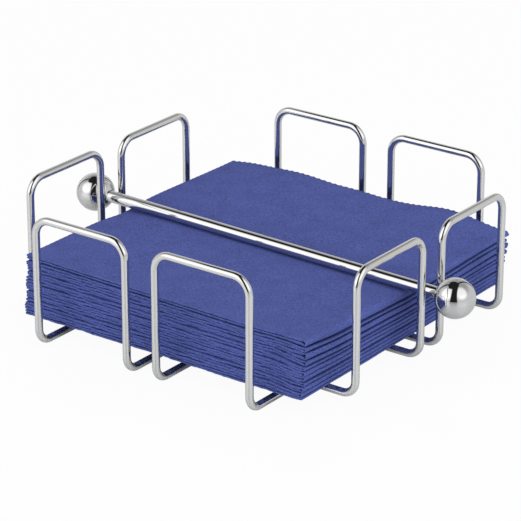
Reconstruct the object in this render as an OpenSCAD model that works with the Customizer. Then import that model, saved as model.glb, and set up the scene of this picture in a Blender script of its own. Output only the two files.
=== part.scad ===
// Napkin holder: a welded tray of four closed bent wires, a loose weight bar with a ball
// on each end, and a stack of folded paper napkins under the bar.
// Origin: middle of the tray at table level. X runs along the bar, Z is up. Millimetres.

/* [Wire frame] */
// Diameter of the frame wire
wire_d = 3.8; // [3:0.1:5]
// Distance between opposite leg planes, wire centre to wire centre
frame_w = 192; // [188:1:240]
// Height of the frame from the table to the top of the loops
frame_h = 67.8; // [62:0.2:100]
// Width of a loop on the two sides that guide the bar, wire centre to wire centre
bar_loop_w = 53; // [40:1:70]
// Width of a loop on the two other sides, wire centre to wire centre
grip_loop_w = 53.6; // [40:0.2:70]
// Clear gap between the two loops that the bar rides in
bar_gap = 12.6; // [8:0.2:16]
// Clear gap between the two loops on the other sides
grip_gap = 13.6; // [8:0.2:20]
// Bend radius at the top of a loop, at the wire's centre
top_bend_r = 8.5; // [5:0.5:16]
// Bend radius between a floor run and a leg, at the wire's centre
floor_bend_r = 7; // [5:0.5:12]
// How far crossing floor runs sink into each other where they are welded
weld_sink = 0.1; // [0.05:0.05:0.5]

/* [Weight bar] */
// Diameter of the rod
rod_d = 6; // [4:0.5:7]
// How far the rod's shoulders stand outside the legs
rod_reach = 0.6; // [0.4:0.1:8]
// Chamfer at the rod's shoulders
rod_chamfer = 0.4; // [0.2:0.1:0.8]
// Diameter of the end balls
ball_d = 19.5; // [17.5:0.5:26]
// Diameter of the spigot that holds a ball
spigot_d = 3.5; // [2:0.5:3.5]
// Length of the spigot
spigot_l = 9; // [5:0.5:11]
// Radial clearance of the spigot in the ball's bore
spigot_clear = 0.05; // [0.02:0.01:0.1]
// Depth of the bore past the end of the spigot
bore_relief = 0.6; // [0.2:0.1:1.5]
// How far the loose bar lies off the middle of the tray, along itself
bar_x = 1.5; // [-1.5:0.1:1.5]

/* [Napkins] */
// Side of a folded napkin
napkin_side = 165; // [120:1:165]
// Height of one folded napkin
napkin_t = 2.15; // [1.8:0.05:3]
// Thickness of one leaf of a folded napkin
leaf_t = 0.75; // [0.4:0.05:0.85]
// Air between two napkins in the stack, at their folds
napkin_air = 0.15; // [0.05:0.05:0.5]
// How much more air there is between two napkins at their open side
open_rise = 0.23; // [0:0.01:0.4]
// How far the middle of the stack lies from the middle of the tray along the bar
stack_x = -0.4; // [-2:0.1:2]
// How far the middle of the stack lies from the middle of the tray across the bar
stack_y = 2.1; // [-2.5:0.1:2.5]
// How much further along the bar the top napkin lies than the bottom one
stack_lean_x = -1.2; // [-2:0.1:2]
// How much further across the bar the top napkin lies than the bottom one
stack_lean_y = 4.8; // [-5:0.1:5]
// How unevenly the napkins are stacked
stack_scatter = 0.6; // [0:0.1:0.8]

/* [Fits] */
// Air between the napkins and what they touch, the floor wires and the rod
rest_clear = 0.3; // [0.2:0.05:0.5]

/* [Hidden] */
$fn = 64;
napkin_count = 11;

// Wire centres
leg_x = frame_w / 2;
low_floor_z = wire_d / 2;
high_floor_z = low_floor_z + wire_d - weld_sink;
loop_top_z = frame_h - wire_d / 2;

// Stack of napkins
stack_bottom_z = high_floor_z + wire_d / 2 + rest_clear;
napkin_pitch = napkin_t + napkin_air;
// Tilt that each napkin adds to the stack
open_tilt = atan(open_rise / napkin_side);
// Turn of the scatter from one napkin to the next, in degrees
scatter_turn = 137;

// Weight bar, lying on the top napkin and tilted with it
bar_tilt = (napkin_count - 1) * open_tilt;
top_fold = napkin_fold(napkin_count);
fold_to_axis = napkin_t + rest_clear + rod_d / 2;
rod_z = top_fold.z + fold_to_axis / cos(bar_tilt) + (top_fold.x - bar_x) * tan(bar_tilt);
shoulder_x = leg_x + wire_d / 2 + rod_reach;
ball_r = ball_d / 2;
// The flat on a ball is as wide as the rod's shoulder inside its chamfer
seat_d = rod_d - 2 * rod_chamfer;
seat_from_centre = sqrt(ball_r * ball_r - seat_d * seat_d / 4);
ball_x = shoulder_x + seat_from_centre;

chrome = "gainsboro";
polished_chrome = "whitesmoke";
napkin_blue = "#4D5696";

function napkin_name(i) = str("napkin_", i < 10 ? "0" : "", i);

// Where the fold of napkin i ends, at the middle of its underside
function napkin_fold(i) =
    let (
        share = (i - 1) / (napkin_count - 1),
        lean_x = stack_x + stack_lean_x * (share - 0.5),
        lean_y = stack_y + stack_lean_y * (share - 0.5),
        scatter_x = stack_scatter * sin(scatter_turn * (i - 1)),
        scatter_y = stack_scatter * sin(2 * scatter_turn * (i - 1))
    )
    [
        napkin_side / 2 + lean_x + scatter_x,
        lean_y + scatter_y,
        stack_bottom_z + (i - 1) * napkin_pitch
    ];

// A quarter bend of wire about the origin, from +X to +Y
module quarter_bend(bend_r)
    rotate_extrude(angle = 90)
        translate([bend_r, 0])
            circle(d = wire_d);

// One leg with its floor bend and its top bend, at the side y = half_w of a loop
module leg(half_w, floor_z) {
    leg_bottom_z = floor_z + floor_bend_r;
    leg_top_z = loop_top_z - top_bend_r;
    translate([leg_x - floor_bend_r, half_w, leg_bottom_z])
        rotate([90, 0, 0])
            rotate([0, 0, -90])
                quarter_bend(floor_bend_r);
    translate([leg_x, half_w, leg_bottom_z])
        cylinder(d = wire_d, h = leg_top_z - leg_bottom_z);
    translate([leg_x, half_w - top_bend_r, leg_top_z])
        rotate([90, 0, 90])
            quarter_bend(top_bend_r);
}

// The upright loop at the +X end of a wire
module end_loop(half_w, floor_z) {
    for (side = [0, 1])
        mirror([0, side, 0])
            leg(half_w, floor_z);
    translate([leg_x, 0, loop_top_z])
        rotate([90, 0, 0])
            cylinder(d = wire_d, h = 2 * (half_w - top_bend_r), center = true);
}

// One closed wire: two floor runs along X and a loop at each end.
// gap is the clear space between it and its twin on the other side of y = 0.
module bent_wire(loop_w, gap, floor_z) {
    half_w = loop_w / 2;
    translate([0, gap / 2 + wire_d / 2 + half_w, 0]) {
        for (side = [-1, 1])
            translate([0, side * half_w, floor_z])
                rotate([0, 90, 0])
                    cylinder(d = wire_d, h = 2 * (leg_x - floor_bend_r), center = true);
        for (end = [0, 1])
            mirror([end, 0, 0])
                end_loop(half_w, floor_z);
    }
}

module lengthwise_wire_back()
    color(chrome)
        bent_wire(bar_loop_w, bar_gap, high_floor_z);

module lengthwise_wire_front()
    mirror([0, 1, 0])
        lengthwise_wire_back();

module crosswise_wire_left()
    color(chrome)
        rotate([0, 0, 90])
            bent_wire(grip_loop_w, grip_gap, low_floor_z);

module crosswise_wire_right()
    mirror([1, 0, 0])
        crosswise_wire_left();

// Puts a piece of the weight bar in its place, with the bar's axis along Z
module on_bar()
    translate([bar_x, 0, rod_z])
        rotate([0, 90 + bar_tilt, 0])
            children();

// The rod with a chamfered shoulder and a spigot at each end
module weight_rod()
    color(polished_chrome)
        on_bar() {
            cylinder(d = rod_d, h = 2 * (shoulder_x - rod_chamfer), center = true);
            for (end = [0, 1])
                mirror([0, 0, end]) {
                    translate([0, 0, shoulder_x - rod_chamfer])
                        cylinder(d1 = rod_d, d2 = seat_d, h = rod_chamfer);
                    translate([0, 0, shoulder_x])
                        cylinder(d = spigot_d, h = spigot_l);
                }
        }

// A ball above z = 0, with a flat for the rod's shoulder and a blind bore for its spigot
module end_ball()
    translate([0, 0, ball_x])
        difference() {
            sphere(d = ball_d);
            translate([0, 0, -seat_from_centre - ball_r])
                cylinder(d = ball_d, h = ball_r);
            translate([0, 0, -seat_from_centre - ball_r])
                cylinder(d = spigot_d + 2 * spigot_clear, h = ball_r + spigot_l + bore_relief);
        }

module ball_right()
    color(polished_chrome)
        on_bar()
            end_ball();

module ball_left()
    color(polished_chrome)
        on_bar()
            mirror([0, 0, 1])
                end_ball();

// Side view of a folded napkin: two leaves joined by a round fold at the +X end
module folded_outline() {
    fold_x = napkin_side / 2 - napkin_t / 2;
    slit = napkin_t - 2 * leaf_t;
    difference() {
        union() {
            translate([-napkin_side / 2, 0])
                square([napkin_side / 2 + fold_x, napkin_t]);
            translate([fold_x, napkin_t / 2])
                circle(d = napkin_t);
        }
        translate([-napkin_side, leaf_t])
            square([napkin_side + fold_x, slit]);
        translate([fold_x, napkin_t / 2])
            circle(d = slit);
    }
}

// Napkin i of the stack, counted from the bottom, turned up about its fold
module napkin(i)
    color(napkin_blue)
        translate(napkin_fold(i))
            rotate([0, (i - 1) * open_tilt, 0])
                translate([-napkin_side / 2, 0, 0])
                    rotate([90, 0, 0])
                        linear_extrude(height = napkin_side, center = true)
                            folded_outline();

lengthwise_wire_front();
lengthwise_wire_back();
crosswise_wire_left();
crosswise_wire_right();
weight_rod();
ball_left();
ball_right();
for (i = [1 : napkin_count])
    napkin(i);
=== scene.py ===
# %% [markdown]
# # A wire napkin holder with its napkins
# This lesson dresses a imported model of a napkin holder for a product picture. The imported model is
# the frame: it fixes every place and size. Each step below adds one real piece or one real finish.

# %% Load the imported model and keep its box
import math
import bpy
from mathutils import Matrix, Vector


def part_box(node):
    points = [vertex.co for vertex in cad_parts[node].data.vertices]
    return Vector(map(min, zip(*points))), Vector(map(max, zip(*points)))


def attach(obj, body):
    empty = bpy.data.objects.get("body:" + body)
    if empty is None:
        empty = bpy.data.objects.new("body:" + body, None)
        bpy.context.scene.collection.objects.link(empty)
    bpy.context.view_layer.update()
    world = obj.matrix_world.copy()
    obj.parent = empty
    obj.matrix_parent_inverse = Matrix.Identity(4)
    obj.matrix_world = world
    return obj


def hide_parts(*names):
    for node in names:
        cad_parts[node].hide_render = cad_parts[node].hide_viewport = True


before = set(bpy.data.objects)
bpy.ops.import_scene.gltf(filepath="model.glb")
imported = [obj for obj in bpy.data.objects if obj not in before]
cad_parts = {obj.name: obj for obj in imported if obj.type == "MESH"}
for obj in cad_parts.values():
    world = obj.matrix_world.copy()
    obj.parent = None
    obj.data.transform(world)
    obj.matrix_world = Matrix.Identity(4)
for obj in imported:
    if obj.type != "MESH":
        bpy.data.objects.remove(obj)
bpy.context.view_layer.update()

from types import SimpleNamespace

import bmesh
import bpy
import numpy as np
from mathutils import Matrix, Vector

MM = 0.001

# %% [markdown]
# ## The camera
# A product photographer stands well back with a long lens, so that the near and the far loops look
# almost the same size. The camera could be placed by hand. Here it is given as an angle round the
# object, a height and a distance, which are the numbers that you would change to look from elsewhere.

# %% Place the camera
VIEW_AZIMUTH = math.radians(36.515)
VIEW_LIFT = 22.647
VIEW_DISTANCE = 1303.3 * MM
AIM = Vector((-2.63, 0.0, 26.9)) * MM
SENSOR_WIDTH = 36
FOCAL_LENGTH = 185.05
CLIP_NEAR = 0.05
CLIP_FAR = 30


def toward(turn, lift=0.0):
    """Unit vector from the object: degrees to the right of the camera, and degrees up."""
    azimuth = VIEW_AZIMUTH + math.radians(turn)
    level = math.cos(math.radians(lift))
    return Vector((math.sin(azimuth) * level, -math.cos(azimuth) * level, math.sin(math.radians(lift))))


to_camera = toward(0, VIEW_LIFT)
lens = bpy.data.cameras.new("long_lens")
lens.sensor_width = SENSOR_WIDTH
lens.lens = FOCAL_LENGTH
lens.clip_start = CLIP_NEAR
lens.clip_end = CLIP_FAR
camera = bpy.data.objects.new("product_camera", lens)
camera.location = AIM + to_camera * VIEW_DISTANCE
camera.rotation_euler = (-to_camera).to_track_quat("-Z", "Y").to_euler()
bpy.context.collection.objects.link(camera)
bpy.context.scene.camera = camera
print("camera stands", round(camera.location.length, 3), "m from the origin")

# %% [markdown]
# ## Small helpers
# Every piece below is built in a bmesh and then becomes an object whose place is in its mesh. These
# helpers do the closing work once: merge what a sweep left double, turn the faces outwards, shade.

# %% Helpers that finish a mesh
MERGE = 0.0005 * MM
SHARP_ANGLE = math.radians(35)


def finish_solid(bm, name):
    """Closes a swept or spun bmesh and returns it as a smooth-shaded object."""
    bmesh.ops.remove_doubles(bm, verts=bm.verts, dist=MERGE)
    bmesh.ops.recalc_face_normals(bm, faces=bm.faces)
    for face in bm.faces:
        face.smooth = True
    for edge in bm.edges:
        edge.smooth = edge.calc_face_angle(0.0) < SHARP_ANGLE
    mesh = bpy.data.meshes.new(name)
    bm.to_mesh(mesh)
    bm.free()
    piece = bpy.data.objects.new(name, mesh)
    bpy.context.collection.objects.link(piece)
    return piece


def seat(piece, body, slot, material, *nodes):
    """Puts a finished piece on its body, with its finish, in place of the nodes it stands for."""
    piece.data.materials.append(material)
    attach(piece, body)
    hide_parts(*nodes)
    print(piece.name, "has", len(piece.data.polygons), "faces")


print("edges above", round(math.degrees(SHARP_ANGLE)), "degrees stay sharp")

# %% [markdown]
# ## Shader helpers
# A material is a small network of nodes. Four short functions keep that readable: one adds a node and
# sets its values, one maps a value from one range to another, one does a step of arithmetic, and one
# starts a material.

# %% Helpers that build node networks


def add_node(tree, kind, inputs=None, **settings):
    """Adds a node, sets its properties, and sets or links its inputs by name or number."""
    node = tree.nodes.new(kind)
    for key, value in settings.items():
        setattr(node, key, value)
    for key, value in (inputs or {}).items():
        if isinstance(value, bpy.types.NodeSocket):
            tree.links.new(value, node.inputs[key])
        else:
            node.inputs[key].default_value = value
    return node


def ramp(tree, value, low, high, out_low=0.0, out_high=1.0, kind="SMOOTHSTEP"):
    """Maps a value from low..high to out_low..out_high and returns the socket."""
    node = add_node(
        tree,
        "ShaderNodeMapRange",
        {"Value": value, "From Min": low, "From Max": high, "To Min": out_low, "To Max": out_high},
        interpolation_type=kind,
    )
    return node.outputs["Result"]


def math_node(tree, operation, first, second=0.0):
    """One step of arithmetic on sockets or numbers."""
    return add_node(tree, "ShaderNodeMath", {0: first, 1: second}, operation=operation).outputs[0]


def new_material(name):
    """A node material with its output and its principled shader."""
    material = bpy.data.materials.new(name)
    material.use_nodes = True
    tree = material.node_tree
    shader = tree.nodes["Principled BSDF"]
    return material, tree, shader


# %% [markdown]
# ## The studio
# Chrome has no colour of its own: what you see is the room. This room is a white tent with a soft box
# on each side of the camera, a slit where the camera looks in, a dark opening overhead and a seam at
# each side of the back wall. Those dark places are what draws the thin black lines along the wires.
# The camera itself sees plain white behind the object.

# %% Say where the room is bright and where it is dark
X, Y, UP = Vector((1, 0, 0)), Vector((0, 1, 0)), Vector((0, 0, 1))
WALL_LEVEL = 0.75
ROOF_LEVEL = 0.55 * WALL_LEVEL
DARK_LEVEL = 0.02
# An edge is a pair of cosines: where a place begins and where it is complete, or the other way round
ROOF_EDGE = (0.25, 0.75)
# Level of each soft box, its degrees to the right of the camera and its degrees up
SOFT_BOXES = ((0.95, -65, 34), (0.85, 42, 44))
SOFT_BOX_EDGE = (0.75, 0.97)
# The slit is a little to the left of the camera, and its curtains come together upwards
SLIT_TURN = -13
SLIT_EDGE = (0.31, 0.4)
SLIT_SIDE = (-0.2, 0)
SLIT_NARROWING = 0.13
# The opening is round, but ends in a straight edge at its left
OPENING = (-140, 74)
OPENING_EDGE = (0.875, 0.925)
OPENING_END = (-0.585, -0.555)
SEAMS = (-131, 149)
SEAM_EDGE = (0.03, 0.09)
SEAM_SIDE = (0, 0.1)
print("walls at", WALL_LEVEL, "and", len(SOFT_BOXES), "soft boxes")

# %% Paint the room


def paint_room(world):
    """White tent: a level for every direction, darker in the slit, the opening and the two seams."""
    world.use_nodes = True
    tree = world.node_tree
    tree.nodes.clear()
    way = add_node(tree, "ShaderNodeTexCoord").outputs["Generated"]

    def along(direction):
        node = add_node(tree, "ShaderNodeVectorMath", {0: way, 1: direction}, operation="DOT_PRODUCT")
        return node.outputs["Value"]

    def times(first, second):
        return math_node(tree, "MULTIPLY", first, second)

    def beside(turn):
        return math_node(tree, "ABSOLUTE", along(toward(turn + 90)))

    def seam(turn):
        this_side = ramp(tree, along(toward(turn)), *SEAM_SIDE)
        return times(ramp(tree, beside(turn), *SEAM_EDGE, 1, 0), this_side)

    height = along(UP)
    level = ramp(tree, height, *ROOF_EDGE, WALL_LEVEL, ROOF_LEVEL)
    for glow, turn, lift in SOFT_BOXES:
        soft_box = ramp(tree, along(toward(turn, lift)), *SOFT_BOX_EDGE, 0, glow)
        level = math_node(tree, "ADD", level, soft_box)
    curtain = math_node(tree, "ADD", beside(SLIT_TURN), times(height, SLIT_NARROWING))
    in_front = ramp(tree, along(toward(0)), *SLIT_SIDE)
    slit = times(ramp(tree, curtain, *SLIT_EDGE, 1, 0), in_front)
    opening = ramp(tree, along(toward(*OPENING)), *OPENING_EDGE)
    opening = times(opening, ramp(tree, along(X), *OPENING_END))
    for mask in (slit, opening, *map(seam, SEAMS)):
        level = times(level, math_node(tree, "SUBTRACT", 1.0, mask))
    level = math_node(tree, "ADD", level, DARK_LEVEL)
    seen = add_node(tree, "ShaderNodeLightPath").outputs["Is Camera Ray"]
    strength = add_node(tree, "ShaderNodeMix", {"Factor": seen, "A": level, "B": 1.0})
    light = add_node(tree, "ShaderNodeBackground", {"Strength": strength.outputs["Result"]})
    light.inputs["Color"].default_value = (1, 1, 1, 1)
    add_node(tree, "ShaderNodeOutputWorld", {"Surface": light.outputs[0]})


scene = bpy.context.scene
scene.view_settings.view_transform = "Standard"
scene.world = bpy.data.worlds.new("white_tent")
paint_room(scene.world)
print("room painted with", len(scene.world.node_tree.nodes), "nodes")

# %% Hang the lamps that light the paper
LAMP_DISTANCE = 1.3
WHITE = (1, 1, 1)
COOL = (0.86, 0.96, 1)


def hang_lamp(name, direction, width, height, watts, color):
    """A soft lamp that faces the object. It lights the paper, and the metal does not mirror it."""
    lamp = bpy.data.lights.new(name, "AREA")
    lamp.shape = "RECTANGLE"
    lamp.size = width
    lamp.size_y = height
    lamp.energy = watts
    lamp.color = color
    light = bpy.data.objects.new(name, lamp)
    light.location = AIM + direction * LAMP_DISTANCE
    light.rotation_euler = (-direction).to_track_quat("-Z", "Y").to_euler()
    light.visible_camera = False
    light.visible_glossy = False
    bpy.context.collection.objects.link(light)
    print(name, "hangs at", [round(v, 2) for v in light.location])


hang_lamp("top_lamp", UP, width=1.2, height=1.2, watts=6.4, color=WHITE)
hang_lamp("left_lamp", toward(-40, 12), width=1.2, height=0.45, watts=5.6, color=COOL)
hang_lamp("right_lamp", toward(40, 11), width=2.4, height=0.45, watts=9.6, color=COOL)

# %% Lay the white table
TABLE_REACH = 6.0
TABLE_WHITE = 0.72
TABLE_ROUGHNESS = 0.12
TABLE_GLOSS = 0.8
CAMERA_GLOW = 0.95
MIRROR_GLOW = 0.05


def lay_table():
    """A wide table top of white acrylic. The camera sees it as almost plain white."""
    bm = bmesh.new()
    bmesh.ops.create_grid(bm, x_segments=1, y_segments=1, size=TABLE_REACH)
    table = finish_solid(bm, "white_table")
    material, tree, shader = new_material("white_acrylic")
    shader.inputs["Base Color"].default_value = (TABLE_WHITE, TABLE_WHITE, TABLE_WHITE, 1)
    shader.inputs["Roughness"].default_value = TABLE_ROUGHNESS
    shader.inputs["Specular IOR Level"].default_value = TABLE_GLOSS
    path = add_node(tree, "ShaderNodeLightPath").outputs
    mirrored = math_node(tree, "MAXIMUM", path["Is Glossy Ray"], path["Is Transmission Ray"])
    share = math_node(
        tree,
        "MAXIMUM",
        math_node(tree, "MULTIPLY", path["Is Camera Ray"], CAMERA_GLOW),
        math_node(tree, "MULTIPLY", mirrored, MIRROR_GLOW),
    )
    glow = add_node(tree, "ShaderNodeEmission", {"Strength": 1.0})
    mix = add_node(tree, "ShaderNodeMixShader", {0: share, 1: shader.outputs[0], 2: glow.outputs[0]})
    tree.links.new(mix.outputs[0], tree.nodes["Material Output"].inputs["Surface"])
    table.data.materials.append(material)
    print("table is", 2 * TABLE_REACH, "m wide")


lay_table()

# %% [markdown]
# ## Chrome
# The wire is drawn steel with a thin bright plating. Polished chrome returns about two thirds of the
# light, so white paper looks pale grey in it and only a lamp looks white. Handling leaves a faint haze,
# which is put in as a slow change of roughness, and drawing leaves the surface very slightly wavy.

# %% Make the haze that both chromes share
HAZE_DETAIL = 4.0
HAZE_EDGE = (0.42, 0.72)
RIPPLE_DETAIL = 2.0


def haze_group():
    """A shader node group: slow cloudy haze and fine ripple, both from 0 to 1."""
    group = bpy.data.node_groups.new("plating_haze", "ShaderNodeTree")
    sockets = group.interface
    sockets.new_socket("Cloud Scale", in_out="INPUT", socket_type="NodeSocketFloat")
    sockets.new_socket("Ripple Scale", in_out="INPUT", socket_type="NodeSocketFloat")
    sockets.new_socket("Haze", in_out="OUTPUT", socket_type="NodeSocketFloat")
    sockets.new_socket("Ripple", in_out="OUTPUT", socket_type="NodeSocketFloat")
    given = add_node(group, "NodeGroupInput").outputs
    where = add_node(group, "ShaderNodeTexCoord").outputs["Object"]

    def noise(scale, detail):
        node = add_node(group, "ShaderNodeTexNoise", {"Vector": where, "Scale": scale, "Detail": detail})
        return node.outputs[0]

    haze = ramp(group, noise(given["Cloud Scale"], HAZE_DETAIL), *HAZE_EDGE)
    ripple = noise(given["Ripple Scale"], RIPPLE_DETAIL)
    add_node(group, "NodeGroupOutput", {"Haze": haze, "Ripple": ripple})
    return group


plating_haze = haze_group()
print("haze group has", len(plating_haze.nodes), "nodes")

# %% Make the two chromes


def chrome(name, color, smooth, hazy, cloud_scale, ripple_scale, ripple_depth):
    """Polished chrome whose roughness runs from smooth to hazy."""
    material, tree, shader = new_material(name)
    scales = {"Cloud Scale": cloud_scale, "Ripple Scale": ripple_scale}
    haze = add_node(tree, "ShaderNodeGroup", scales, node_tree=plating_haze).outputs
    roughness = ramp(tree, haze["Haze"], 0, 1, smooth, hazy, "LINEAR")
    waves = add_node(tree, "ShaderNodeBump", {"Height": haze["Ripple"], "Distance": ripple_depth})
    shader.inputs["Base Color"].default_value = (*color, 1)
    shader.inputs["Metallic"].default_value = 1.0
    tree.links.new(roughness, shader.inputs["Roughness"])
    tree.links.new(waves.outputs[0], shader.inputs["Normal"])
    return material


wire_chrome = chrome(
    "wire_chrome", (0.72, 0.72, 0.71), smooth=0.04, hazy=0.1,
    cloud_scale=60, ripple_scale=250, ripple_depth=0.0006 * MM,
)
bar_chrome = chrome(
    "bar_chrome", (0.67, 0.67, 0.67), smooth=0.02, hazy=0.06,
    cloud_scale=45, ripple_scale=120, ripple_depth=0.0004 * MM,
)
print("chromes:", wire_chrome.name, bar_chrome.name)

# %% [markdown]
# ## The four closed wires
# Each wire is one length of rod, bent into two floor runs and two upright loops and butt-welded shut.
# A curve with a round bevel would do. A ring that is pushed along and spun round each bend copies
# what the bending machine does, and keeps the bends true quarter circles.

# %% Sweep a ring along straights and bends
WIRE_D = 3.8 * MM
TOP_BEND = 8.5 * MM
FLOOR_BEND = 7.0 * MM
RING_SIDES = 32
BEND_STEPS = 14
RIGHT_ANGLE = math.radians(90)


def pushed(bm, ring, way, length):
    """Extrudes a ring of edges straight ahead and returns the new ring."""
    made = bmesh.ops.extrude_edge_only(bm, edges=ring)["geom"]
    verts = [item for item in made if isinstance(item, bmesh.types.BMVert)]
    bmesh.ops.translate(bm, verts=verts, vec=way * length)
    return [item for item in made if isinstance(item, bmesh.types.BMEdge)]


def bent(bm, ring, centre, axis):
    """Spins a ring of edges a quarter turn round a bend's centre and returns the new ring."""
    made = bmesh.ops.spin(
        bm, geom=ring, cent=centre, axis=axis, angle=RIGHT_ANGLE, steps=BEND_STEPS, use_duplicate=False
    )
    return [item for item in made["geom_last"] if isinstance(item, bmesh.types.BMEdge)]


print("a bend has", BEND_STEPS * RING_SIDES, "faces")

# %% Bend the wires


def bend_wire(node, along, across):
    """Bends one closed wire in the box of its node, with its floor runs along one axis."""
    low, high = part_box(node)
    middle = (low + high) / 2
    radius = WIRE_D / 2
    reach = (high - low).dot(along) / 2 - radius
    width = (high - low).dot(across) - WIRE_D
    rise = high.z - low.z - WIRE_D
    start = Vector((middle.x, middle.y, low.z + radius)) - across * width / 2
    bm = bmesh.new()
    turn = along.to_track_quat("Z", "Y").to_matrix().to_4x4()
    made = bmesh.ops.create_circle(
        bm, cap_ends=False, segments=RING_SIDES, radius=radius, matrix=Matrix.Translation(start) @ turn
    )
    ring = list({edge for vert in made["verts"] for edge in vert.link_edges})
    run = reach - FLOOR_BEND
    leg = rise - FLOOR_BEND - TOP_BEND
    top = width - 2 * TOP_BEND
    # Each step of the route: the way of a straight, its length, the bend after it and the next way
    route = [(along, run, FLOOR_BEND, UP), (UP, leg, TOP_BEND, across), (across, top, TOP_BEND, -UP)]
    route += [(-UP, leg, FLOOR_BEND, -along), (-along, 2 * run, FLOOR_BEND, UP)]
    route += [(UP, leg, TOP_BEND, -across), (-across, top, TOP_BEND, -UP), (-UP, leg, FLOOR_BEND, along)]
    place = start
    for way, length, bend, next_way in route:
        ring = pushed(bm, ring, way, length)
        place = place + way * length
        ring = bent(bm, ring, place + next_way * bend, way.cross(next_way))
        place = place + (way + next_way) * bend
    pushed(bm, ring, along, run)
    return finish_solid(bm, node + "_bent")


for node in ("lengthwise_wire_front", "lengthwise_wire_back"):
    seat(bend_wire(node, X, Y), "frame", "chrome_wire", wire_chrome, node)
for node in ("crosswise_wire_left", "crosswise_wire_right"):
    seat(bend_wire(node, Y, X), "frame", "chrome_wire", wire_chrome, node)

# %% [markdown]
# ## The weight bar
# The bar is turned on a lathe: a plain rod with a chamfered shoulder and a thin spigot at each end,
# and two bored balls that are pressed on. A lathe is what spin is, so each piece is a short outline
# spun once round the bar's axis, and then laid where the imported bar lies.

# %% Find the bar's axis
ROD_R = 3.0 * MM
SHOULDER_R = 2.6 * MM
BALL_R = 9.75 * MM
SEAT = math.sqrt(BALL_R**2 - SHOULDER_R**2)


def ball_centre(node, sign):
    """Centre of a ball: its outermost point along the bar is one radius from it."""
    low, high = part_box(node)
    middle = (low + high) / 2
    outermost = high.x if sign > 0 else low.x
    return Vector((outermost - sign * BALL_R, middle.y, middle.z))


left_centre = ball_centre("ball_left", -1)
right_centre = ball_centre("ball_right", 1)
bar_middle = (left_centre + right_centre) / 2
bar_way = (right_centre - left_centre).normalized()
half_bar = (right_centre - left_centre).length / 2
shoulder = half_bar - SEAT
# From the lathe, whose axis is Z, to the bar's place
bar_place = Matrix.Translation(bar_middle) @ bar_way.to_track_quat("Z", "Y").to_matrix().to_4x4()
print("bar middle", [round(v / MM, 2) for v in bar_middle], "half length", round(half_bar / MM, 2))

# %% Turn the rod and the balls
CHAMFER = 0.4 * MM
SPIGOT_R = 1.75 * MM
SPIGOT_L = 9.0 * MM
BORE_R = 1.8 * MM
BORE_L = 9.6 * MM
LATHE_STEPS = 64
BALL_STEPS = 40


def outline(bm, points):
    """Adds a chain of edges through (radius, height) points."""
    verts = [bm.verts.new((radius, 0, height)) for radius, height in points]
    return [bm.edges.new(pair) for pair in zip(verts, verts[1:])]


def turned(bm, edges, name):
    """Spins an outline once round the lathe's axis and lays the piece on the bar's axis."""
    bmesh.ops.spin(
        bm, geom=edges, cent=(0, 0, 0), axis=UP, angle=2 * math.pi, steps=LATHE_STEPS,
        use_merge=True, use_duplicate=False,
    )
    bmesh.ops.transform(bm, matrix=bar_place, verts=bm.verts)
    return finish_solid(bm, name)


def turn_rod():
    """The rod: half its outline, mirrored."""
    end = [(ROD_R, shoulder - CHAMFER), (SHOULDER_R, shoulder), (SPIGOT_R, shoulder)]
    end += [(SPIGOT_R, shoulder + SPIGOT_L), (0, shoulder + SPIGOT_L)]
    other = [(radius, -height) for radius, height in reversed(end)]
    bm = bmesh.new()
    return turned(bm, outline(bm, other + end), "weight_rod_turned")


def turn_ball(name, sign):
    """A ball with its flat and its blind bore, on one end of the bar."""
    centre = sign * half_bar
    bm = bmesh.new()
    pole = bm.verts.new((0, 0, centre + sign * BALL_R))
    flat_angle = math.pi - math.asin(SHOULDER_R / BALL_R)
    bmesh.ops.spin(
        bm, geom=[pole], cent=(0, 0, centre), axis=(0, sign, 0), angle=flat_angle, steps=BALL_STEPS,
        use_duplicate=False,
    )
    mouth = centre - sign * SEAT
    end = mouth + sign * BORE_L
    outline(bm, [(SHOULDER_R, mouth), (BORE_R, mouth), (BORE_R, end), (0, end)])
    bmesh.ops.remove_doubles(bm, verts=bm.verts, dist=MERGE)
    return turned(bm, bm.edges[:], name)


seat(turn_rod(), "weight_bar", "chrome_bar", bar_chrome, "weight_rod")
seat(turn_ball("ball_left_turned", -1), "weight_bar", "chrome_bar", bar_chrome, "ball_left")
seat(turn_ball("ball_right_turned", 1), "weight_bar", "chrome_bar", bar_chrome, "ball_right")

# %% [markdown]
# ## Tissue
# A paper napkin is soft crepe: a dyed web of short fibres. The dye takes a little unevenly, and the
# crepe catches the light as a fine grain. Colour, grain and a dull surface are all that it needs,
# because the folds are real geometry.

# %% Make the tissue
TISSUE_BLUE = (0.077, 0.098, 0.3)
DARK_DYE = 0.7
PALE_DYE = 1.3
DYE_RANGE = (0.9, 1.4)
# Crepe ribs run along X, so the pattern is stretched along X
RIB_STRETCH = (0.6, 1.0, 1.0)
CLOUD_SHARE = 0.3
GRAIN_STRENGTH = 0.6
GRAIN_DEPTH = 0.06 * MM
TISSUE_ROUGHNESS = 0.95
TISSUE_GLOSS = 0.06


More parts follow.
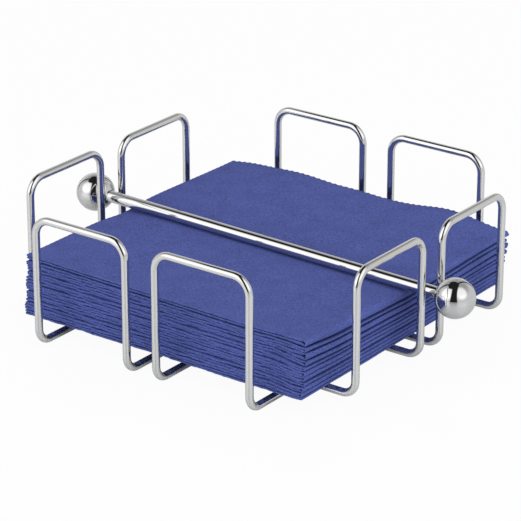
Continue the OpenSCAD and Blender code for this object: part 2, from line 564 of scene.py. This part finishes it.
def tissue_paper():
    """Dyed crepe tissue."""
    material, tree, shader = new_material("blue_tissue")
    where = add_node(tree, "ShaderNodeTexCoord").outputs["Object"]
    ribs = add_node(tree, "ShaderNodeMapping", {"Vector": where, "Scale": RIB_STRETCH}).outputs[0]

    def noise(place, scale, detail):
        inputs = {"Vector": place, "Scale": scale, "Detail": detail}
        return add_node(tree, "ShaderNodeTexNoise", inputs).outputs[0]

    crepe = noise(ribs, scale=1400.0, detail=3.0)
    fibre = noise(where, scale=2200.0, detail=4.0)
    cloud = noise(where, scale=90.0, detail=3.0)
    grain = math_node(tree, "ADD", crepe, fibre)
    tone = math_node(tree, "ADD", grain, math_node(tree, "MULTIPLY", cloud, CLOUD_SHARE))
    color = add_node(tree, "ShaderNodeMix", data_type="RGBA")
    tree.links.new(ramp(tree, tone, *DYE_RANGE, 0, 1, "LINEAR"), color.inputs["Factor"])
    color.inputs["A"].default_value = (*[c * DARK_DYE for c in TISSUE_BLUE], 1)
    color.inputs["B"].default_value = (*[c * PALE_DYE for c in TISSUE_BLUE], 1)
    tree.links.new(color.outputs["Result"], shader.inputs["Base Color"])
    relief = {"Height": grain, "Strength": GRAIN_STRENGTH, "Distance": GRAIN_DEPTH}
    tree.links.new(add_node(tree, "ShaderNodeBump", relief).outputs[0], shader.inputs["Normal"])
    shader.inputs["Roughness"].default_value = TISSUE_ROUGHNESS
    shader.inputs["Specular IOR Level"].default_value = TISSUE_GLOSS
    return material


tissue = tissue_paper()
print("tissue:", tissue.name)

# %% [markdown]
# ## The stack
# Each napkin is a square sheet, folded once along its front edge and once more at its right edge, so
# four plies lie on each other. Folding a simulated cloth four deep is slow and slips. A sheet whose
# every point is placed by the two folds gives crisp folds at once, and the stack can be shaped as a
# whole: it is pressed flat under the bar, stands higher at its back and hangs a little in front.

# %% Curves that shape paper


def ease(value, start, end):
    """Smooth step from 0 at start to 1 at end."""
    part = np.clip((value - start) / (end - start), 0, 1)
    return part * part * (3 - 2 * part)


def hill(value, height, middle, width):
    """A soft hill."""
    return height * np.exp(-(((value - middle) / width) ** 2))


def wander(place, length, seed):
    """A smooth irregular curve between about -1 and 1, another one for every seed."""
    phase = 2 * np.pi * place / length
    slow = 0.5 * np.sin(phase + 1.7 * seed)
    middling = 0.3 * np.sin(2.3 * phase + 2.9 * seed + 1)
    return slow + middling + 0.2 * np.sin(4.1 * phase + 5.3 * seed + 2)


def scatter(seed):
    """One irregular number between about -1 and 1 for every seed."""
    return wander(0.0, MM, seed)


print("a curve wanders from", round(wander(0.0, MM, 1), 2), "to", round(wander(MM / 2, MM, 1), 2))

# %% Shape the underside and the upper face of the stack
REST = 0.05 * MM
wires_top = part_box("lengthwise_wire_back")[0].z + WIRE_D
# In millimetres. A hill is its height, middle and width. A span is where a change starts and ends.
HANG = 0.6
HANG_HELD = (0.5, -8, 16)
HANG_SPAN_X = (84, 74)
HANG_SPAN_Y = (-63, -82)
ROD_VALLEY = (0.5, 0, 14)
FRONT_LIFT = -0.05
FRONT_SPAN = (-5, -77)
CORNER_LIFT = 0.95
CORNER_SPAN = (52, 74)
BACK_LIFT = 0.65
BACK_SPAN = (5, 86)
BACK_HILLS = ((1.4, -40, 18), (3.4, 51, 20), (0.5, -5, 12), (-2.2, -90, 14))
LEFT_DROP = 0.15
LEFT_DIP = (1.2, -6, 14)
LEFT_SPAN = (-66, -86)


def stack_bottom(x, y):
    """Height of the stack's underside: flat on the wires, hanging a little in front of them."""
    hang = HANG - hill(x / MM, *HANG_HELD)
    return wires_top + REST - hang * MM * ease(y / MM, *HANG_SPAN_Y) * ease(x / MM, *HANG_SPAN_X)


def stack_top(x, y):
    """Height of the stack's upper face: it carries the rod, and rises and dips towards its edges."""
    under_rod = bar_middle.z - ROD_R - REST + (x - bar_middle.x) * bar_way.z / bar_way.x
    x_mm, y_mm = x / MM, y / MM
    loft = ROD_VALLEY[0] - hill(y_mm, *ROD_VALLEY)
    front = FRONT_LIFT + CORNER_LIFT * ease(x_mm, *CORNER_SPAN)
    back = BACK_LIFT + sum(hill(x_mm, *shape) for shape in BACK_HILLS)
    left = -(LEFT_DROP + hill(y_mm, *LEFT_DIP)) * ease(x_mm, *LEFT_SPAN)
    wave = loft + ease(y_mm, *FRONT_SPAN) * front + ease(y_mm, *BACK_SPAN) * back + left
    return under_rod + wave * MM


print("stack top at the middle:", round(float(stack_top(0.0, 30 * MM)) / MM, 2), "mm")

# %% Share the height out between the leaves
NAPKINS = 11
LEAVES = 2 * NAPKINS
PLY = 0.22 * MM
# Half the height of a leaf of two plies, as a share of the room that a leaf has
HALF_LEAF = 0.22
# Room of each fold, from the bottom up, in millimetres
FOLD_ROOM = np.array([1.3, 2.1, 2.5, 2.3, 2.75, 2.5, 1.95, 2.85, 3.9, 2.7, 3.35])
FOLD_SPAN = (60, 80)
# The fold of the top napkin has more room in the middle
TOP_ROOM = 2.3
TOP_ROOM_FRONT = (-82, -52)
TOP_ROOM_BACK = (75, 10)
SWAY = 0.14
SWAY_LENGTH_X = 60 * MM
SWAY_LENGTH_Y = 70 * MM
SWAY_LOST_AT_FOLD = 0.8
fold_below = np.cumsum(FOLD_ROOM) - FOLD_ROOM


def leaf_height(leaf, x, y):
    """Height of the middle of a leaf, and the room that one leaf has there."""
    bottom = stack_bottom(x, y)
    pitch = (stack_top(x, y) - bottom - PLY) / (LEAVES - 1 + 2 * HALF_LEAF)
    # The leaves lie evenly, but towards the crease each napkin takes the room of its own fold
    napkin = leaf // 2
    spare = TOP_ROOM * ease(y / MM, *TOP_ROOM_FRONT) * ease(y / MM, *TOP_ROOM_BACK)
    room = FOLD_ROOM[napkin] + spare * (napkin == NAPKINS - 1)
    scale = NAPKINS / (FOLD_ROOM.sum() + spare)
    by_fold = scale * (2 * fold_below[napkin] + room * (0.5 + leaf % 2)) - 0.5
    near_fold = ease(x / MM, *FOLD_SPAN)
    level = leaf + near_fold * (by_fold - leaf)
    # Leaves sway inside the stack, and less near their folds
    sway = wander(x, SWAY_LENGTH_X, leaf) + wander(y, SWAY_LENGTH_Y, leaf + 3)
    share = leaf / (LEAVES - 1)
    inside = np.minimum(1, 8 * share * (1 - share))
    level = level + SWAY * sway * inside * (1 - SWAY_LOST_AT_FOLD * near_fold)
    return bottom + PLY / 2 + pitch * (HALF_LEAF + level), pitch * (1 + near_fold * (scale * room - 1))


print("one leaf has", round(float(leaf_height(0, 0.0, 30 * MM)[1]) / MM, 2), "mm of room")

# %% [markdown]
# ## One napkin
# The open sheet is a grid. Every point of it is numbered from the two creases, and the numbers say
# where on the folded napkin it goes: round a crease, or out on a flat part. The cut border of the sheet
# is pinked by the edge rollers of the napkin machine, so the border is divided finer and scalloped.

# %% Make the open sheet
FOLD_STEPS = 6
BORDER_CUTS_ALONG = 2
BORDER_CUTS_ACROSS = 5


def stations(paces):
    """Shares from 0 to 1 along a flat part, from (share of the length, steps) pairs."""
    marks = [0.0]
    for share, steps in paces:
        marks += [marks[-1] + share * (step + 1) / steps for step in range(steps)]
    return np.array(marks) / marks[-1]


ALONG = stations([(0.03, 10), (0.94, 128), (0.03, 6)])
ACROSS = stations([(0.03, 8), (0.9, 44), (0.07, 8)])
STEPS_ALONG = len(ALONG) - 1 + FOLD_STEPS
STEPS_ACROSS = len(ACROSS) - 1 + FOLD_STEPS


def open_sheet(name):
    """The open sheet as a grid from -1 to 1 with a finely divided border."""
    bm = bmesh.new()
    bmesh.ops.create_grid(bm, x_segments=2 * STEPS_ALONG, y_segments=2 * STEPS_ACROSS, size=1.0)

    def border(crosswise):
        edges = [edge for edge in bm.edges if edge.is_boundary]
        return [e for e in edges if (abs(e.verts[0].co.x - e.verts[1].co.x) < MERGE) == crosswise]

    bmesh.ops.subdivide_edges(bm, edges=border(False), cuts=BORDER_CUTS_ALONG)
    bmesh.ops.subdivide_edges(bm, edges=border(True), cuts=BORDER_CUTS_ACROSS)
    for face in bm.faces:
        face.smooth = True
    mesh = bpy.data.meshes.new(name)
    bm.to_mesh(mesh)
    bm.free()
    return mesh


print("an open sheet has", 2 * STEPS_ALONG, "by", 2 * STEPS_ACROSS, "cells")

# %% Number the points of the sheet
# The edges of the top napkin, with none above it, wander less
CALM_TOP = 0.4


def fold_or_flat(number, marks):
    """Angle round the crease and share of the flat part, for points numbered from the crease."""
    step = np.abs(number)
    angle = np.minimum(step, FOLD_STEPS) / FOLD_STEPS * np.pi / 2
    share = np.interp(step - FOLD_STEPS, np.arange(len(marks)), marks)
    return angle, share


def numbered(mesh, number):
    """Says of every point of a napkin's sheet which leaf it is on and how it lies to the creases."""
    flat = np.empty(len(mesh.vertices) * 3)
    mesh.vertices.foreach_get("co", flat)
    grid = flat.reshape(-1, 3)
    i = grid[:, 0] * STEPS_ALONG
    j = grid[:, 1] * STEPS_ACROSS
    point = SimpleNamespace(number=number, top_napkin=number == NAPKINS)
    point.calm = CALM_TOP if point.top_napkin else 1.0
    point.upper = np.where(i < 0, -1.0, 1.0)
    point.outer = np.where(j < 0, -1.0, 1.0)
    point.turn_x, point.share_x = fold_or_flat(i, ALONG)
    point.turn_y, point.share_y = fold_or_flat(j, ACROSS)
    point.in_fold = np.abs(i) < FOLD_STEPS
    point.leaf = 2 * (number - 1) + (point.upper > 0)
    return point


print("a crease has", 2 * FOLD_STEPS, "steps round it")

# %% Say where the edges of a napkin run
# How far edges lie in, lean or stray, in millimetres
FRONT_INSET = 0.3
RAGGED = 0.35
RAGGED_FINE = 0.18
BACK_SKEW = 4.2
SKEW_STEP = 0.3
SKEW_SCATTER = 0.7
BACK_SCATTER = 0.5
RIGHT_INSET = 0.5
RIGHT_INSET_LOW = 0.8
RIGHT_OPENING = 0.36
RIGHT_WANDER = 0.2
LEFT_REACH = 0.5
LEFT_SCATTER = 0.15
# Lengths of their waves, and the napkins between which the inset grows
RAGGED_LENGTH = 60 * MM
FINE_LENGTH = 12 * MM
RIGHT_LENGTH = 90 * MM
INSET_SPAN = (7, 1)

# The folds at the right and the free edges at the left stand in line from the bottom napkin to the top
lowest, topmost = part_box("napkin_01"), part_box(f"napkin_{NAPKINS:02d}")
left_line, right_line = np.linspace((lowest[0].x, lowest[1].x), (topmost[0].x, topmost[1].x), NAPKINS).T


def front_and_back(point, low, high, x):
    """Y of the front crease, where the two plies of a leaf meet, and of the free edges at the back."""
    number, leaf = point.number, point.leaf
    ragged = RAGGED * wander(x, RAGGED_LENGTH, leaf) + RAGGED_FINE * wander(x, FINE_LENGTH, leaf)
    front = low.y + (FRONT_INSET + point.calm * ragged) * MM
    skew = BACK_SKEW - SKEW_STEP * number + SKEW_SCATTER * math.sin(2.4 * number)
    apart = BACK_SCATTER * scatter(2.2 * leaf + point.outer)
    back = high.y + (skew * (1 - point.share_x) + apart) * MM
    return front, back


def right_and_left(point, y):
    """X of the right crease, where a leaf turns into the other, and of the free edges at the left."""
    number = point.number
    # The lowest folds lie further in, and the upper ones open towards the back
    inset = RIGHT_INSET + RIGHT_INSET_LOW * ease(number, *INSET_SPAN)
    inset = inset - RIGHT_OPENING * (number - 1) * point.share_y
    inset = inset + RIGHT_WANDER * wander(y, RIGHT_LENGTH, number)
    right = right_line[number - 1] - inset * MM
    reach = LEFT_REACH - LEFT_SCATTER * scatter(1.3 * point.leaf + 2 * point.outer)
    left = left_line[number - 1] - reach * MM
    return right, left


print("right creases from", round(right_line[0] / MM, 1), "to", round(right_line[-1] / MM, 1), "mm")

# %% Press the folds and the creases
# Gaps under, between and over the folds, from the bottom up, in millimetres
FOLD_GAP = np.array([0.1, 0.45, 0.45, 0.6, 1.25, 0.4, 0.75, 0.95, 1.05, 1.0, 1.3, 0.8])
GAP_UNEVEN = 0.2
GAP_LENGTH = 80 * MM
GAP_LESS_IN_FRONT = 0.22
# Half heights of a leaf at the front crease, as shares of its room
FRONT_LEAF = 0.345
LOOSE_LEAF = 0.25
CORNER_LEAF = 0.1
LOOSE_SPAN = (4 * MM, 16 * MM)
BULGE = 0.9 * MM
NECK_REACH = 7 * MM
NECK_PLY = 0.12 * MM


def pressed(number, above, y, pitch, at_front):
    """How far a fold is pressed in from above or below, in leaf rooms, to leave its gap open."""
    gap_number = number - 1 + above
    uneven = 1 + GAP_UNEVEN * wander(y, GAP_LENGTH, gap_number)
    gap = FOLD_GAP[gap_number] * MM * uneven
    return (gap + PLY) / (2 * pitch) - (0.5 - HALF_LEAF) - GAP_LESS_IN_FRONT * at_front


def leaf_form(leaf, pitch, behind, at_front, at_fold):
    """Half the height of a leaf, and how far a point is in the neck behind a fold, from 0 to 1."""
    # At the front the creases fill the stack, but the outermost leaves lie looser
    outermost = (leaf < 2) | (leaf > LEAVES - 4)
    front_leaf = FRONT_LEAF - (FRONT_LEAF - LOOSE_LEAF) * outermost * ease(behind, *LOOSE_SPAN)
    half_leaf = front_leaf * (1 - at_fold) + CORNER_LEAF * at_fold
    half_leaf = (HALF_LEAF + at_front * (half_leaf - HALF_LEAF)) * pitch
    # Behind the bulge of a fold the plies lie close on each other
    neck = (1 - hill(behind, 1, 0, BULGE)) * hill(behind, 1, 0, NECK_REACH) * (1 - at_front)
    neck = np.where((leaf == 0) | (leaf == LEAVES - 1), 0, neck)
    return half_leaf + neck * (NECK_PLY - half_leaf), neck


print("gaps between folds from", FOLD_GAP.min(), "to", FOLD_GAP.max(), "mm")

# %% Pink the cut edges
SCALLOP = 3.4 * MM
BACK_PINK = 0.5 * MM
BACK_CURL = 0.15 * MM
LEFT_PINK = 0.25 * MM
LAST = 1 - 1e-6


def scallop(place):
    """Outline of a pinked edge: round lobes with sharp notches, from -1 to 0."""
    return np.abs(np.sin(np.pi * place / SCALLOP)) - 1


def pinked(point, x, y, z):
    """Scallops the free edges at the back and at the left."""
    number = point.number
    at_back = point.share_y > LAST
    at_left = point.share_x > LAST
    y = y + np.where(at_back, BACK_PINK * scallop(x + number * MM), 0)
    z = z + np.where(at_back, BACK_CURL * np.sin(2 * np.pi * x / SCALLOP + number), 0)
    x = x - np.where(at_left, LEFT_PINK * scallop(y + number * MM), 0)
    return x, y, z


print("a cut edge has a lobe every", round(SCALLOP / MM, 1), "mm")

# %% Fold one napkin
FRONT_REACH = 2.5 * MM
FOLD_REACH = 4 * MM
# Depth of a fold as a share of its leaf's room, and how square it is: 1 is round, less is squarer
FOLD_DEPTH = 0.45
FOLD_SQUARE = 0.3
TOP_FOLD_DEPTH = 0.9
TOP_FOLD_SQUARE = 0.8
FLUTTER = 0.1
FLUTTER_REACH = 6 * MM
FLUTTER_LENGTH = 10 * MM
TOP_FRONT_LIFT = 0.12


def fold_napkin(number):
    """One napkin of the stack, counted from the bottom, as a folded sheet."""
    node = f"napkin_{number:02d}"
    low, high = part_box(node)
    mesh = open_sheet(node + "_folded")
    point = numbered(mesh, number)
    upper, leaf, turn_x, turn_y = point.upper, point.leaf, point.turn_x, point.turn_y

    # Where the point lies on a plain napkin, and how near it is to the two creases
    rough_x = high.x - point.share_x * (high.x - low.x)
    from_front = point.share_y * (high.y - low.y)
    rough_y = low.y + from_front
    front, back = front_and_back(point, low, high, rough_x)
    right, left = right_and_left(point, rough_y)
    at_front = np.exp(-from_front / FRONT_REACH)
    pitch = leaf_height(leaf, rough_x, rough_y)[1]
    round_top = (upper > 0) & point.top_napkin
    fold_depth = np.where(round_top, TOP_FOLD_DEPTH, FOLD_DEPTH) * pitch
    start_x = right - fold_depth
    x = start_x - point.share_x * (start_x - left)
    behind = start_x - x
    at_fold = (1 - at_front) * np.exp(-behind / FOLD_REACH) + at_front * hill(behind, 1, 0, BULGE)

    # Heights of this leaf and of its twin, the other leaf of the napkin
    height, pitch = leaf_height(leaf, x, rough_y)
    own_press = pressed(number, (upper > 0).astype(int), rough_y, pitch, at_front)
    height = height - upper * own_press * at_fold * pitch
    flutter = FLUTTER * point.calm * wander(x, FLUTTER_LENGTH, leaf)
    flutter = flutter * np.exp(-from_front / FLUTTER_REACH)
    flutter = flutter + TOP_FRONT_LIFT * point.top_napkin * at_front
    height = height + flutter * (1 - at_fold) * pitch
    twin = leaf_height(4 * (number - 1) + 1 - leaf, x, rough_y)[0]
    twin_press = pressed(number, (upper < 0).astype(int), rough_y, pitch, at_front)
    twin = twin + upper * twin_press * at_fold * pitch

    # Round the front crease the two plies of a leaf share one curve
    half_leaf, neck = leaf_form(leaf, pitch, behind, at_front, at_fold)
    offset = point.outer * half_leaf * np.sin(turn_y)
    y = front + half_leaf * (1 - np.cos(turn_y) ** FOLD_SQUARE)
    y = y + point.share_y * (back - front - half_leaf)

    # Round the right crease the two leaves share one curve
    middle = (height + twin) / 2
    apart = (height - twin) / 2
    apart = apart + neck * (upper * 2 * NECK_PLY - apart) + upper * offset
    square = np.where(round_top, TOP_FOLD_SQUARE, FOLD_SQUARE)
    x = np.where(point.in_fold, start_x + (fold_depth + offset) * np.cos(turn_x) ** square, x)
    z = middle + apart * np.where(point.in_fold, np.sin(turn_x), 1)

    mesh.vertices.foreach_set("co", np.stack(pinked(point, x, y, z), 1).ravel())
    mesh.update()
    piece = bpy.data.objects.new(node + "_folded", mesh)
    bpy.context.collection.objects.link(piece)
    thickness = piece.modifiers.new("ply", "SOLIDIFY")
    thickness.thickness = PLY
    thickness.offset = 0.0
    return piece, node


# %% Lay the napkins on each other
for number in range(1, NAPKINS + 1):
    piece, node = fold_napkin(number)
    seat(piece, "napkin_stack", "napkin_tissue", tissue, node)
